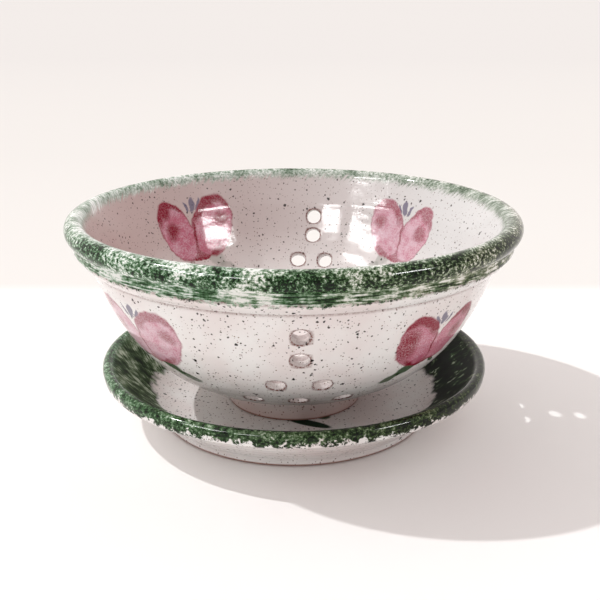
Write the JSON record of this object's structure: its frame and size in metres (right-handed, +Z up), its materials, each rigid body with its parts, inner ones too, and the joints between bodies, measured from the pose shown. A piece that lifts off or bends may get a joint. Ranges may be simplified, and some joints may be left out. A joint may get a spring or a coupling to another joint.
{
  "type": "berry colander bowl",
  "caption": "Round stoneware berry bowl with a rolled rim, drain holes in its wall and a foot ring, standing in a shallow flared drip saucer it lifts out of.",
  "frame": {"origin": "centre of the saucer's foot, on the surface that it stands on", "axes": "+Z up along the axis of bowl and saucer, -Y towards the viewer of the picture"},
  "size_m": [0.19, 0.19, 0.0905],
  "materials": {
    "saucer_glaze": "glossy speckled glaze with a sponged green rim band",
    "bowl_glaze": "glossy speckled white glaze with a sponged green rim band and painted flowers"
  },
  "bodies": {
    "saucer": {"saucer": "saucer_glaze"},
    "bowl": {"bowl": "bowl_glaze"}
  },
  "joints": [
    {"name": "bowl_lift", "type": "slide", "parent": "saucer", "child": "bowl", "axis": [0, 0, 1], "range_m": [0, 0.12]}
  ]
}
